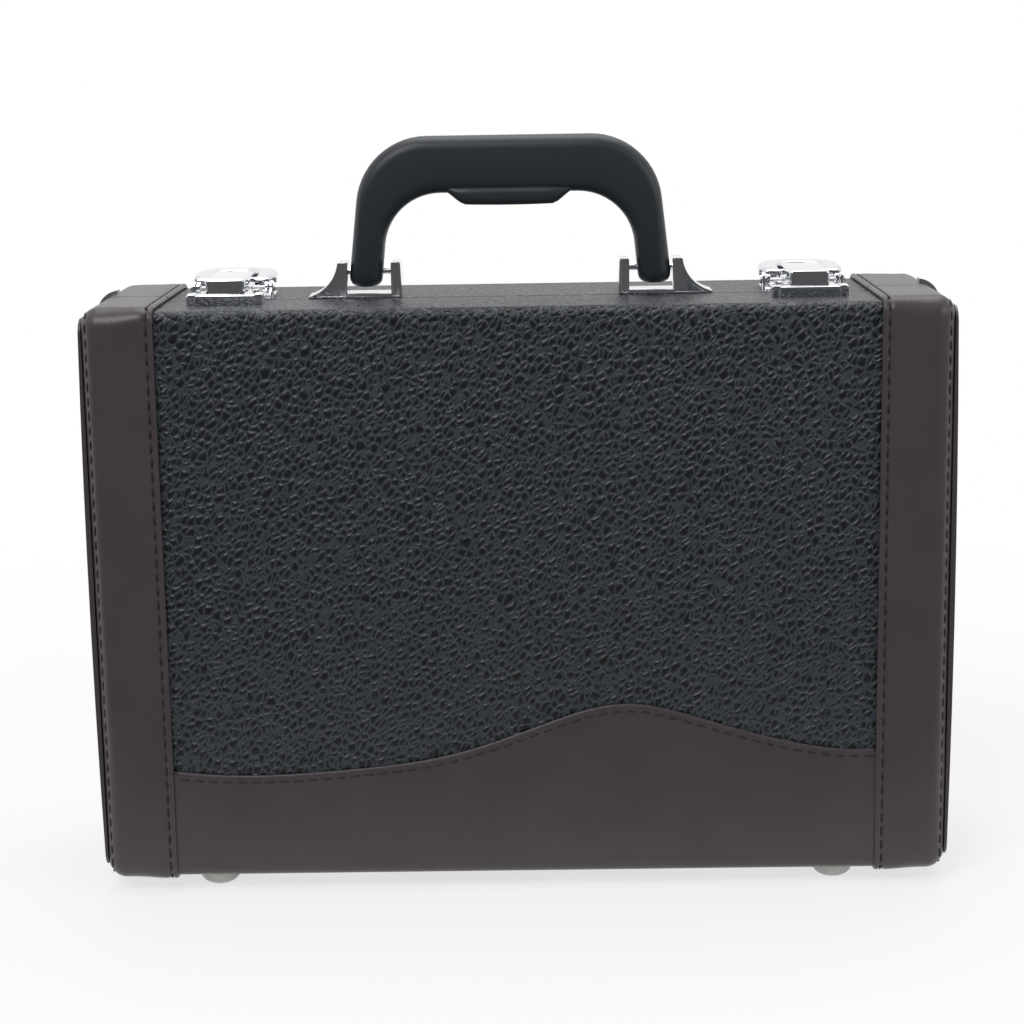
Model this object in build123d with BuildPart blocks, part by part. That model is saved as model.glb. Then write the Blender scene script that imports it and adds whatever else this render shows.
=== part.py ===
from build123d import *
import os
from math import cos, radians, sin

os.makedirs("parts", exist_ok=True)

# Clarinet case, attache style, standing on its feet. Millimetres, +Z up, the front faces -Y.
# The origin is on the ground, midway along the width and midway through the depth.

# Case body
case_width = 360.0          # over the crowned end panels
case_height = 244.2         # over the end bands, without the feet
front_depth = 44.0          # seam to the front of the bands
back_depth = 58.0           # seam to the back of the bands
corner_radius = 8.0         # corners as seen from the front, on the bands
edge_radius = 6.0           # long front and back edges, on the bands
seam_gap = 0.6              # between the two halves
side_wall = 6.0             # plywood sides
face_wall = 5.0             # plywood front and back
cavity_radius = 3.0         # inside corners of the plywood

# Leather
cover_thickness = 1.2       # black pebbled leather
band_proud = 2.0            # the padded end bands stand this much above the cover
band_width = 30.0           # from the end to the band's folded inner edge
wave_thickness = 0.8        # brown lower panel laid on the cover
rim_roll = 0.9              # leather rolled over at the seam
panel_edge = 1.0            # end panel at its edge
panel_crown = 1.2           # its extra swell at mid height
panel_margin = 5.0          # from the end panel to the edges of its half
panel_corner = 6.0

# Top edge of the wavy lower panel: (across, above the underside of the bands)
wave_line = [
    (-122.0, 46.0),
    (-75.0, 47.8),
    (-30.0, 54.0),
    (10.0, 67.2),
    (42.0, 75.1),
    (75.0, 68.2),
    (110.0, 58.2),
]
wave_left = 48.2            # height where it meets the left band
wave_right = 54.4           # height where it meets the right band

# Feet
foot_height = 7.2
foot_radius = 9.0
foot_tread = 4.5            # radius of the flat that stands on the ground
foot_shoulder = 1.6
foot_inset = 18.0           # foot centre to the front or back of the case
foot_spread = 131.8         # foot centre to the middle of the case
screw_head = 2.6
screw_head_height = 1.8
screw_recess = 4.2          # depth of the hole in the foot
fit_gap = 0.05              # radial clearance of pins and screws in their holes
seat_gap = 0.3              # between pieces that move past each other

# Inside
tongue_thickness = 2.0
tongue_reach = 6.0          # how far the tongue enters the front half
tongue_root = 10.0          # how far it is glued into the back half
tongue_corner = 0.6         # its inside corners
lining_thickness = 3.0
lining_roll = 1.5
tray_wall = 6.0             # around the recesses
tray_rib = 8.0              # between recesses in a row
tray_split = 104.0          # height of the tray that holds the two long joints
upper_joint = (238.0, 42.0)     # recess length and width
lower_joint = (268.0, 44.0)
joint_recess_depth = 40.0
bell_recess = (108.0, 79.0, 44.0)   # length, width at the flare, width at the socket
bell_recess_depth = 47.0
barrel_recess = (70.0, 40.0)
mouthpiece_recess = (92.0, 36.0)
small_recess_depth = 38.0
box_width = 110.7           # accessory box
box_wall = 4.0
box_floor = 4.0
locker_height = 26.0        # covered compartment of the accessory box
locker_lid_thickness = 2.4
locker_pin_radius = 1.0
locker_knob_radius = 3.5
locker_knob_height = 2.5

# Hinges on the underside
hinge_offset = 85.0         # hinge centre to the middle of the case
hinge_width = 45.0
hinge_leaf = 20.0           # leaf length from the hinge axis
hinge_leaf_thickness = 1.0
hinge_barrel = 2.0          # barrel radius
hinge_pin = 1.0             # pin radius
hinge_knuckles = 5
hinge_side_gap = 0.2
hinge_drop = 0.2            # barrel below the leather
hinge_rivets = 3
rivet_head = 2.4
rivet_head_height = 0.9
rivet_shank = 1.4

# Carrying handle
handle_offset = -3.0        # the handle sits a little left of the middle
handle_half_width = 67.9    # outside of the legs at the pins
handle_rise = 66.9          # top of the grip above the leather
handle_leg = 13.8           # leg width
handle_depth = 15.0
handle_bow = 30.0           # outer bend
handle_inner_bow = 15.0     # inner bend
handle_lean = 3.9           # each leg leans in by this much from its pin up to the grip
handle_grip = 23.7          # grip height without its belly
belly_depth = 5.2
belly_half_width = 28.0
belly_depth_inset = 1.2
handle_edge = 3.4
leg_below_pin = 6.2
leg_toe = 5.0

# Handle brackets
bracket_offset = 59.5       # bracket slot centre to the handle centre
bracket_slot = 9.25         # half the slot between the posts
bracket_post = 4.0
bracket_height = 14.9
bracket_depth = 15.0
bracket_seam_gap = 0.6      # bracket front to the seam
bracket_base = 1.8
bracket_tip = 25.7          # flared outer foot, from the slot centre
bracket_tip_height = 0.9
bracket_flare = 0.34        # share of the run and of the rise at the flare's midpoint
bracket_rim = 0.7           # raised rim round the sunk front face
bracket_sink = 0.5
bracket_toe = 0.6           # the inner post widens by this much at its foot
handle_pin = 1.3            # pin radius
handle_pin_height = 10.6
bracket_rivet = 2.0

# Latches
latch_offset = 121.0        # latch centre to the middle of the case
strike_width = 31.6
strike_front = 20.0         # seam to the front wall
strike_plate = 1.2
strike_wall = 1.8
strike_height = 4.2
strike_block = 3.7
strike_block_height = 4.8
strike_block_depth = 6.0
strike_rail = 1.6
strike_rail_height = 3.0
strike_bar_height = 2.5
strike_bar_depth = 2.0
strike_bar_width = 18.0
strike_bar_back = 4.7       # from the front wall to the bar
strike_seam_gap = 0.6
latch_plate = 1.5
latch_plate_half = 15.0     # half width at the seam
latch_plate_flare = 17.4    # half width at the cheeks
latch_plate_length = 28.0
latch_flare_start = 9.0
latch_tail_chamfer = 7.0
cheek_thickness = 1.5
cheek_gap = 0.3
cheek_round = 2.7
cheek_foot_front = 5.5
cheek_foot_back = 4.0
lever_pin = 1.1
lever_pin_back = 9.5        # lever pin behind the seam
lever_pin_height = 4.5      # above the leather
lever_pin_head = 1.9
lever_pin_head_height = 0.7
lever_front = 0.5           # lever plate starts this far ahead of its pin
lever_length = 28.0
lever_half_front = 15.4     # half width between the cheeks
lever_half_back = 17.5      # half width of the loop
lever_shoulder = 6.0        # where it starts to widen
lever_shoulder_run = 2.0
lever_slot = 9.2            # half width of the open middle
lever_bar = 6.5             # width of the loop at the back
lever_thickness = 3.6
lever_tilt = 4.2            # degrees, back end raised
lever_under = 0.4           # lever plate above its pin centre
lever_corner = 12.0
lever_slot_corner = 7.0
lever_round = 1.5
lever_tab = 1.6
lever_tab_round = 2.4
hook_half = 8.2             # half width of the hook
hook_nose_gap = 0.7         # hook nose behind the strike's front wall
hook_tail = 3.5             # behind its pin
hook_under = 4.5            # underside above the leather
hook_top = 10.6             # top above the leather
hook_wall = 1.2
hook_nose = 2.2
hook_lip_clear = 0.3        # nose above the strike's bar
hook_round = 1.3
hook_pin = 1.2
hook_pin_back = 5.0         # hook pin behind the lever pin
hook_pin_rise = 2.5         # hook pin above the lever pin
hook_pin_grip = 2.4         # length of the hook pin in each lever arm

# Strap rings at the ends
strap_back = 13.0           # plate centre behind the seam
strap_width = 20.0
strap_height = 30.0
strap_top = 8.0             # plate top below the case top
strap_plate = 1.4           # proud of the end panel
strap_corner = 3.0
lug_width = 6.0             # tongue of the plate that hooks over the top corner
lug_thickness = 1.8
lug_reach = 7.0             # inwards from the end
strap_rivet_spread = 6.0
ring_wire = 1.5             # wire radius
ring_width = 24.0
ring_drop = 18.0
ring_bend = 8.0             # lower corners
ring_shoulder = 2.0         # upper corners
knuckle_radius = 2.8
knuckle_width = 12.0
knuckle_down = 9.0          # ring axis below the plate's top

# Places worked out from the sizes
half_depth = {-1: front_depth, 1: back_depth}
seam_y = (front_depth - back_depth) / 2
wave_inset = band_proud - wave_thickness
ply_inset = band_proud + cover_thickness
base_z = foot_height - wave_inset
mid_z = base_z + case_height / 2
band_half_width = case_width / 2 - panel_edge - panel_crown
band_edge_x = band_half_width - band_width
top_z = base_z + case_height - band_proud
under_z = base_z + wave_inset
inner_half_x = band_half_width - ply_inset - side_wall
inner_low = base_z + ply_inset + side_wall
inner_high = base_z + case_height - ply_inset - side_wall
floor_y = seam_y + back_depth - ply_inset - face_wall
lid_y = seam_y - front_depth + ply_inset + face_wall


def finish(piece, name):
    """Name a finished piece and write its STEP file."""
    piece.part.label = name
    export_step(piece.part, f"parts/{name}.step")


def rim_y(side):
    return seam_y + side * seam_gap / 2


def face_y(side, inset):
    return seam_y + side * (half_depth[side] - inset)


def half_block(side, inset, roll=0.0):
    """Solid block of one half of the case, drawn in from the surface of the bands by inset."""
    with BuildPart() as block:
        with BuildSketch(Plane.XZ.offset(-rim_y(side))):
            with Locations((0, mid_z)):
                RectangleRounded(
                    2 * (band_half_width - inset), case_height - 2 * inset, corner_radius - inset
                )
        extrude(amount=rim_y(side) - face_y(side, inset))
        by_depth = block.faces().sort_by(Axis.Y)
        far_face = by_depth[0] if side < 0 else by_depth[-1]
        near_face = by_depth[-1] if side < 0 else by_depth[0]
        if roll:
            fillet(near_face.edges(), roll)
            by_depth = block.faces().sort_by(Axis.Y)
            far_face = by_depth[0] if side < 0 else by_depth[-1]
        fillet(far_face.edges(), edge_radius - inset)
    return block.part


def slab(x_low, x_high):
    """Slice across the whole case between two places along its width."""
    with BuildPart() as cut:
        with Locations(((x_low + x_high) / 2, 0, mid_z)):
            Box(x_high - x_low, 2 * (front_depth + back_depth), 2 * case_height)
    return cut.part


def block_between(low, high, mode=Mode.ADD):
    """Plain block between two corners, in the part being built."""
    with Locations(tuple((low[i] + high[i]) / 2 for i in range(3))):
        Box(*[high[i] - low[i] for i in range(3)], mode=mode)


outer_block = {side: half_block(side, 0.0, rim_roll) for side in (-1, 1)}
wave_block = {side: half_block(side, wave_inset, rim_roll) for side in (-1, 1)}
cover_block = {side: half_block(side, band_proud, rim_roll) for side in (-1, 1)}
ply_block = {side: half_block(side, ply_inset) for side in (-1, 1)}
middle = slab(-band_edge_x, band_edge_x)
end_slice = {
    -1: slab(-case_width, -band_edge_x),
    1: slab(band_edge_x, case_width),
}
half_name = {-1: "front", 1: "back"}
end_name = {-1: "left", 1: "right"}
end_panels = {}

# Plywood shells, each an open box with its mouth at the seam
for side in (-1, 1):
    with BuildPart() as shell:
        add(ply_block[side])
        with BuildSketch(Plane.XZ.offset(-rim_y(side))):
            with Locations((0, (inner_low + inner_high) / 2)):
                RectangleRounded(2 * inner_half_x, inner_high - inner_low, cavity_radius)
        extrude(amount=rim_y(side) - face_y(side, ply_inset + face_wall), mode=Mode.SUBTRACT)
    finish(shell, f"{half_name[side]}_shell")

# Black pebbled leather, glued round the middle of each shell
for side in (-1, 1):
    with BuildPart() as cover:
        add(cover_block[side])
        add(ply_block[side], mode=Mode.SUBTRACT)
        add(middle, mode=Mode.INTERSECT)
    finish(cover, f"{half_name[side]}_cover")

# Padded brown end bands, each a cap of leather over the end of its shell
for side in (-1, 1):
    for end in (-1, 1):
        with BuildPart() as band:
            add(outer_block[side])
            add(ply_block[side], mode=Mode.SUBTRACT)
            add(end_slice[end], mode=Mode.INTERSECT)
        finish(band, f"{half_name[side]}_{end_name[end]}_band")

# Crowned leather panels, stitched onto the ends
for side in (-1, 1):
    near_y = rim_y(side) + side * panel_margin
    far_y = face_y(side, panel_margin)
    low_z = base_z + panel_margin
    high_z = base_z + case_height - panel_margin
    for end in (-1, 1):
        inner_x = end * band_half_width
        edge_x = inner_x + end * panel_edge
        with BuildPart() as panel:
            with BuildSketch(Plane.XZ.offset(-near_y)):
                with BuildLine():
                    Polyline((edge_x, low_z), (inner_x, low_z), (inner_x, high_z), (edge_x, high_z))
                    ThreePointArc(
                        (edge_x, high_z), (edge_x + end * panel_crown, mid_z), (edge_x, low_z)
                    )
                make_face()
            extrude(amount=near_y - far_y)
            fillet(panel.edges().filter_by(Axis.X), panel_corner)
        end_panels[(side, end)] = panel.part
        finish(panel, f"{half_name[side]}_{end_name[end]}_end_panel")

# Wavy brown lower panels, laid on the cover and turned under the case
for side in (-1, 1):
    with BuildPart() as wave_panel:
        add(wave_block[side])
        add(cover_block[side], mode=Mode.SUBTRACT)
        add(middle, mode=Mode.INTERSECT)
        with BuildSketch(Plane.XZ.offset(-rim_y(-side))):
            with BuildLine():
                line_points = [(-band_edge_x, wave_left)] + wave_line + [(band_edge_x, wave_right)]
                Spline(*[(x, base_z + height) for x, height in line_points])
                Polyline(
                    (band_edge_x, base_z + wave_right),
                    (band_edge_x, 0),
                    (-band_edge_x, 0),
                    (-band_edge_x, base_z + wave_left),
                )
            make_face()
        extrude(amount=rim_y(-side) - face_y(side, -panel_margin), mode=Mode.INTERSECT)
    finish(wave_panel, f"{half_name[side]}_wave_panel")

# Feet, moulded domes, each held by one screw
for side in (-1, 1):
    foot_y = face_y(side, foot_inset)
    foot_places = [(-foot_spread, foot_y), (foot_spread, foot_y)]
    with BuildPart() as feet:
        for x, y in foot_places:
            with BuildSketch(Plane(origin=(x, y, 0), x_dir=(1, 0, 0), z_dir=(0, -1, 0))):
                with BuildLine():
                    Polyline(
                        (foot_tread, 0),
                        (0, 0),
                        (0, foot_height),
                        (foot_radius, foot_height),
                        (foot_radius, foot_height - foot_shoulder),
                    )
                    TangentArc(
                        (foot_radius, foot_height - foot_shoulder), (foot_tread, 0), tangent=(0, -1)
                    )
                make_face()
            revolve(axis=Axis((x, y, 0), (0, 0, 1)))
        with Locations(*[Location((x, y, screw_recess / 2)) for x, y in foot_places]):
            Cylinder(screw_head + fit_gap, screw_recess, mode=Mode.SUBTRACT)
    finish(feet, f"{half_name[side]}_feet")
    with BuildPart() as foot_screws:
        for x, y in foot_places:
            with Locations((x, y, screw_recess - screw_head_height / 2)):
                Cylinder(screw_head, screw_head_height)
        fillet(foot_screws.edges().group_by(Axis.Z)[0], screw_head_height / 3)
        with Locations(*[Location((x, y, screw_recess - screw_head_height)) for x, y in foot_places]):
            Box(2 * screw_head, screw_head / 4, screw_head_height, mode=Mode.SUBTRACT)
    finish(foot_screws, f"{half_name[side]}_foot_screws")

# Tongue strip, glued inside the rim of the back shell, which locates the front half
tongue_half_x = inner_half_x - seat_gap
tongue_height = inner_high - inner_low - 2 * seat_gap
tongue_mid_z = (inner_low + inner_high) / 2
with BuildPart() as tongue:
    with BuildSketch(Plane.XZ.offset(-(seam_y + tongue_root))):
        with Locations((0, tongue_mid_z)):
            RectangleRounded(2 * tongue_half_x, tongue_height, cavity_radius)
            RectangleRounded(
                2 * (tongue_half_x - tongue_thickness),
                tongue_height - 2 * tongue_thickness,
                tongue_corner,
                mode=Mode.SUBTRACT,
            )
    extrude(amount=tongue_root + tongue_reach)
finish(tongue, "tongue_strip")

# Lining of the front half
with BuildPart() as lining:
    with BuildSketch(Plane.XZ.offset(-lid_y)):
        with Locations((0, tongue_mid_z)):
            RectangleRounded(2 * tongue_half_x, tongue_height, cavity_radius)
    extrude(amount=-lining_thickness)
    fillet(lining.faces().sort_by(Axis.Y)[-1].edges(), lining_roll)
finish(lining, "lid_lining")

# Trays that hold the instrument, in the back half
tray_half_x = tongue_half_x - tongue_thickness - seat_gap
tray_low = tongue_mid_z - tongue_height / 2 + tongue_thickness + seat_gap
tray_high = tongue_mid_z + tongue_height / 2 - tongue_thickness - seat_gap
split_z = tray_high - tray_split


def trough(x_low, x_high, z_low, z_high, depth):
    """Round-bottomed recess along X, open at the seam."""
    radius = (z_high - z_low) / 2
    with BuildPart() as hollow:
        with BuildSketch(Plane.YZ.offset(x_low)):
            with Locations((seam_y + depth - radius, (z_low + z_high) / 2)):
                Circle(radius)
            with Locations((seam_y + (depth - radius) / 2, (z_low + z_high) / 2)):
                Rectangle(depth - radius, 2 * radius)
        extrude(amount=x_high - x_low)
    return hollow.part


upper_high = tray_high - tray_wall
upper_low = upper_high - upper_joint[1]
lower_high = upper_low - tray_rib
lower_low = lower_high - lower_joint[1]
row_left = -tray_half_x + tray_wall
row_right = tray_half_x - tray_wall
upper_end = row_left + upper_joint[0]
lower_end = row_left + lower_joint[0]
joint_hollows = [
    trough(row_left, upper_end, upper_low, upper_high, joint_recess_depth),
    trough(upper_end + tray_rib, row_right, upper_low, upper_high, small_recess_depth),
    trough(row_left, lower_end, lower_low, lower_high, joint_recess_depth),
    trough(lower_end + tray_rib, row_right, lower_low, lower_high, small_recess_depth),
]
with BuildPart() as joint_tray:
    block_between((-tray_half_x, seam_y, split_z), (tray_half_x, floor_y, tray_high))
    for hollow in joint_hollows:
        add(hollow, mode=Mode.SUBTRACT)
finish(joint_tray, "joint_tray")

box_left = tray_half_x - box_width
bell_low = tray_low + tray_wall
bell_right = row_left + bell_recess[0]
bell_mid_z = bell_low + bell_recess[1] / 2
short_left = bell_right + tray_rib
mouth_high = bell_low + mouthpiece_recess[1]
barrel_low = mouth_high + tray_rib
short_hollows = [
    trough(short_left, short_left + mouthpiece_recess[0], bell_low, mouth_high, small_recess_depth),
    trough(
        short_left,
        short_left + barrel_recess[0],
        barrel_low,
        barrel_low + barrel_recess[1],
        small_recess_depth,
    ),
]
with BuildPart() as bell_tray:
    block_between(
        (-tray_half_x, seam_y, tray_low), (box_left - seat_gap, floor_y, split_z - seat_gap)
    )
    for hollow in short_hollows:
        add(hollow, mode=Mode.SUBTRACT)
    for x, width in ((row_left, bell_recess[1]), (bell_right, bell_recess[2])):
        with BuildSketch(Plane.YZ.offset(x)):
            bell_axis_y = seam_y + bell_recess_depth - bell_recess[1] / 2
            with BuildLine():
                Polyline(
                    (bell_axis_y, bell_mid_z - width / 2),
                    (seam_y, bell_mid_z - width / 2),
                    (seam_y, bell_mid_z + width / 2),
                    (bell_axis_y, bell_mid_z + width / 2),
                )
                ThreePointArc(
                    (bell_axis_y, bell_mid_z + width / 2),
                    (bell_axis_y + width / 2, bell_mid_z),
                    (bell_axis_y, bell_mid_z - width / 2),
                )
            make_face()
    loft(mode=Mode.SUBTRACT)
finish(bell_tray, "bell_tray")

# Accessory box: an open compartment above and a lidded locker below
locker_low = tray_low + box_wall
locker_high = locker_low + locker_height
locker_left = box_left + box_wall
locker_right = tray_half_x - box_wall
locker_pin_y = seam_y + locker_lid_thickness / 2
locker_pin_z = locker_low + locker_lid_thickness / 2
lid_ledge = box_wall / 2
with BuildPart() as accessory_box:
    block_between((box_left, seam_y, tray_low), (tray_half_x, floor_y, split_z - seat_gap))
    block_between(
        (locker_left, seam_y, locker_low),
        (locker_right, floor_y - box_floor, locker_high),
        mode=Mode.SUBTRACT,
    )
    block_between(
        (locker_left, seam_y, locker_high + box_wall),
        (locker_right, floor_y - box_floor, split_z - seat_gap - box_wall),
        mode=Mode.SUBTRACT,
    )
    block_between(
        (locker_left, seam_y, locker_high),
        (locker_right, seam_y + locker_lid_thickness + seat_gap, locker_high + lid_ledge),
        mode=Mode.SUBTRACT,
    )
    with BuildSketch(Plane.YZ.offset(locker_left - box_wall / 2)):
        with Locations((locker_pin_y, locker_pin_z)):
            Circle(locker_pin_radius + fit_gap)
    extrude(amount=locker_right - locker_left + box_wall, mode=Mode.SUBTRACT)
finish(accessory_box, "accessory_box")

with BuildPart() as locker_lid:
    block_between(
        (locker_left + seat_gap, seam_y, locker_pin_z),
        (locker_right - seat_gap, seam_y + locker_lid_thickness, locker_high + lid_ledge - seat_gap),
    )
    with BuildSketch(Plane.YZ.offset(locker_left + seat_gap)):
        with Locations((locker_pin_y, locker_pin_z)):
            Circle(locker_lid_thickness / 2)
    extrude(amount=locker_right - locker_left - 2 * seat_gap)
    with BuildSketch(Plane.YZ.offset(locker_left)):
        with Locations((locker_pin_y, locker_pin_z)):
            Circle(locker_pin_radius + fit_gap)
    extrude(amount=locker_right - locker_left, mode=Mode.SUBTRACT)
finish(locker_lid, "locker_lid")

with BuildPart() as locker_pin:
    with BuildSketch(Plane.YZ.offset(locker_left - box_wall / 2)):
        with Locations((locker_pin_y, locker_pin_z)):
            Circle(locker_pin_radius)
    extrude(amount=locker_right - locker_left + box_wall)
finish(locker_pin, "locker_hinge_pin")

with BuildPart() as locker_knob:
    with BuildSketch(Plane.XZ.offset(-seam_y)):
        with Locations(
            ((locker_left + locker_right) / 2, locker_high - locker_knob_radius - seat_gap)
        ):
            Circle(locker_knob_radius)
    extrude(amount=locker_knob_height)
    fillet(locker_knob.faces().sort_by(Axis.Y)[0].edges(), locker_knob_height / 3)
finish(locker_knob, "locker_knob")

# Hinges under the case, at the seam
hinge_z = under_z - hinge_barrel - hinge_drop
hinge_centres = [-hinge_offset, hinge_offset]
knuckle_pitch = hinge_width / hinge_knuckles
rivet_pitch = hinge_width / hinge_rivets
rivet_row = hinge_leaf - rivet_head - 2 * fit_gap - 1.5 * hinge_leaf_thickness
for side in (-1, 1):
    first_knuckle = 0 if side > 0 else 1
    leaf_far = seam_y + side * hinge_leaf
    leaf_near = seam_y + side * (hinge_barrel + seat_gap)
    rivet_spots = [
        (centre + (i - (hinge_rivets - 1) / 2) * rivet_pitch, seam_y + side * rivet_row)
        for centre in hinge_centres
        for i in range(hinge_rivets)
    ]
    with BuildPart() as leaves:
        for centre in hinge_centres:
            left = centre - hinge_width / 2
            y_low, y_high = sorted((leaf_near, leaf_far))
            block_between(
                (left, y_low, under_z - hinge_leaf_thickness), (left + hinge_width, y_high, under_z)
            )
            for k in range(first_knuckle, hinge_knuckles, 2):
                start = left + k * knuckle_pitch + hinge_side_gap / 2
                length = knuckle_pitch - hinge_side_gap
                y_low, y_high = sorted((seam_y, leaf_far))
                block_between(
                    (start, y_low, under_z - hinge_leaf_thickness), (start + length, y_high, under_z)
                )
                with BuildSketch(Plane.YZ.offset(start)):
                    with Locations((seam_y, hinge_z)):
                        Circle(hinge_barrel)
                extrude(amount=length)
        for centre in hinge_centres:
            with BuildSketch(Plane.YZ.offset(centre - hinge_width / 2)):
                with Locations((seam_y, hinge_z)):
                    Circle(hinge_pin + fit_gap)
            extrude(amount=hinge_width, mode=Mode.SUBTRACT)
        with Locations(*[Location((x, y, under_z)) for x, y in rivet_spots]):
            Cylinder(rivet_shank + fit_gap, 4 * hinge_leaf_thickness, mode=Mode.SUBTRACT)
    finish(leaves, f"{half_name[side]}_hinge_leaves")
    with BuildPart() as leaf_rivets:
        for x, y in rivet_spots:
            with Locations((x, y, under_z - hinge_leaf_thickness - rivet_head_height / 2)):
                Cylinder(rivet_head, rivet_head_height)
        fillet(leaf_rivets.edges().group_by(Axis.Z)[0], rivet_head_height * 0.8)
        for x, y in rivet_spots:
            with Locations((x, y, under_z - hinge_leaf_thickness / 2)):
                Cylinder(rivet_shank, hinge_leaf_thickness)
    finish(leaf_rivets, f"{half_name[side]}_hinge_rivets")

with BuildPart() as hinge_pins:
    for centre in hinge_centres:
        with BuildSketch(Plane.YZ.offset(centre - hinge_width / 2)):
            with Locations((seam_y, hinge_z)):
                Circle(hinge_pin)
        extrude(amount=hinge_width)
finish(hinge_pins, "hinge_pins")

# Handle brackets, cast, standing on the back half with their front at the seam
bracket_front = seam_y + bracket_seam_gap
pin_y = bracket_front + bracket_depth / 2
pin_z = top_z + handle_pin_height
post_out = bracket_slot + bracket_post
bracket_rivet_x = bracket_slot - 2 * bracket_rivet
flare_out = post_out + (bracket_tip - post_out) * bracket_flare
flare_height = bracket_tip_height + (bracket_height - bracket_tip_height) * bracket_flare
for end in (-1, 1):
    slot_x = handle_offset + end * bracket_offset

    def spot(out, height):
        """Point of the bracket's outline, out from the slot towards the end of the case."""
        return (slot_x + end * out, top_z + height)

    with BuildPart() as bracket:
        with BuildSketch(Plane.XZ.offset(-bracket_front)) as outline:
            with BuildLine():
                Polyline(
                    spot(bracket_tip, bracket_tip_height),
                    spot(bracket_tip, 0),
                    spot(-post_out - bracket_toe, 0),
                    spot(-post_out, bracket_height),
                    spot(-bracket_slot, bracket_height),
                    spot(-bracket_slot, bracket_base),
                    spot(bracket_slot, bracket_base),
                    spot(bracket_slot, bracket_height),
                    spot(post_out, bracket_height),
                )
                ThreePointArc(
                    spot(post_out, bracket_height),
                    spot(flare_out, flare_height),
                    spot(bracket_tip, bracket_tip_height),
                )
            make_face()
            post_corners = outline.vertices().group_by(Axis.Y)[-1]
            fillet(post_corners, bracket_rim * 0.9)
        extrude(amount=-bracket_depth)
        with BuildSketch(Plane.XZ.offset(-bracket_front)):
            with BuildLine():
                Polyline(
                    spot(-post_out - bracket_toe + 2 * bracket_rim, bracket_rim),
                    spot(-post_out + bracket_rim, bracket_height - bracket_rim),
                    spot(-bracket_slot - bracket_rim, bracket_height - bracket_rim),
                    spot(-bracket_slot - bracket_rim, bracket_rim),
                    close=True,
                )
            make_face()
            with BuildLine():
                Polyline(
                    spot(bracket_tip - 5 * bracket_rim, bracket_rim),
                    spot(bracket_slot + bracket_rim, bracket_rim),
                    spot(bracket_slot + bracket_rim, bracket_height - bracket_rim),
                    spot(post_out - bracket_rim, bracket_height - bracket_rim),
                )
                ThreePointArc(
                    spot(post_out - bracket_rim, bracket_height - bracket_rim),
                    spot(flare_out - bracket_rim, flare_height - bracket_rim / 2),
                    spot(bracket_tip - 5 * bracket_rim, bracket_rim),
                )
            make_face()
        extrude(amount=-bracket_sink, mode=Mode.SUBTRACT)
        with BuildSketch(Plane.YZ.offset(slot_x - post_out)):
            with Locations((pin_y, pin_z)):
                Circle(handle_pin + fit_gap)
        extrude(amount=2 * post_out, mode=Mode.SUBTRACT)
        with Locations(
            *[Location((slot_x + s * bracket_rivet_x, pin_y, top_z)) for s in (-1, 1)]
        ):
            Cylinder(bracket_rivet + fit_gap, 4 * bracket_base, mode=Mode.SUBTRACT)
    finish(bracket, f"{end_name[end]}_handle_bracket")

with BuildPart() as bracket_rivets:
    for end in (-1, 1):
        for s in (-1, 1):
            rivet_x = handle_offset + end * bracket_offset + s * bracket_rivet_x
            with Locations((rivet_x, pin_y, top_z + bracket_base / 2)):
                Cylinder(bracket_rivet, bracket_base)
finish(bracket_rivets, "bracket_rivets")

with BuildPart() as handle_pins:
    for end in (-1, 1):
        with BuildSketch(Plane.YZ.offset(handle_offset + end * bracket_offset - post_out)):
            with Locations((pin_y, pin_z)):
                Circle(handle_pin)
        extrude(amount=2 * post_out)
finish(handle_pins, "handle_pins")

# Handle, moulded in one piece, swinging on the two pins
handle_top = top_z + handle_rise
grip_under = handle_top - handle_grip
leg_foot = pin_z - leg_below_pin
outer_top = handle_half_width - handle_lean * (handle_top - pin_z) / (grip_under - pin_z)
inner_foot = handle_half_width - handle_leg
inner_head = inner_foot - handle_lean
with BuildPart() as handle:
    with BuildSketch(Plane.XZ.offset(-(pin_y - handle_depth / 2))) as arch:
        with BuildLine():
            outline_half = [
                (handle_half_width, pin_z),
                (handle_half_width, leg_foot),
                (inner_foot, leg_foot),
                (inner_foot, pin_z),
            ]
            right = [(handle_offset + x, z) for x, z in outline_half]
            left = [(handle_offset - x, z) for x, z in reversed(outline_half)]
            Polyline(
                (handle_offset - outer_top, handle_top),
                (handle_offset + outer_top, handle_top),
                *right,
                (handle_offset + inner_head, grip_under),
                (handle_offset - inner_head, grip_under),
                *left,
                close=True,
            )
        make_face()
        top_corners = arch.vertices().group_by(Axis.Y)[-1]
        fillet(top_corners, handle_bow)
        grip_corners = [v for v in arch.vertices() if abs(v.Y - grip_under) < fit_gap]
        fillet(grip_corners, handle_inner_bow)
        fillet(arch.vertices().group_by(Axis.Y)[0], leg_toe)
    extrude(amount=-handle_depth)
    side_faces = handle.faces().filter_by(Axis.Y)
    fillet(side_faces.edges(), handle_edge)
    with BuildSketch(Plane.XZ.offset(-(pin_y - handle_depth / 2 + belly_depth_inset))):
        with BuildLine():
            Polyline(
                (handle_offset - belly_half_width, grip_under),
                (handle_offset - belly_half_width, grip_under + belly_depth),
                (handle_offset + belly_half_width, grip_under + belly_depth),
                (handle_offset + belly_half_width, grip_under),
            )
            Spline(
                (handle_offset + belly_half_width, grip_under),
                (handle_offset, grip_under - belly_depth),
                (handle_offset - belly_half_width, grip_under),
                tangents=((-1, 0), (-1, 0)),
            )
        make_face()
    extrude(amount=-(handle_depth - 2 * belly_depth_inset))
    with BuildSketch(Plane.YZ.offset(handle_offset - handle_half_width)):
        with Locations((pin_y, pin_z)):
            Circle(handle_pin + fit_gap)
    extrude(amount=2 * handle_half_width, mode=Mode.SUBTRACT)
finish(handle, "handle")

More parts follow.
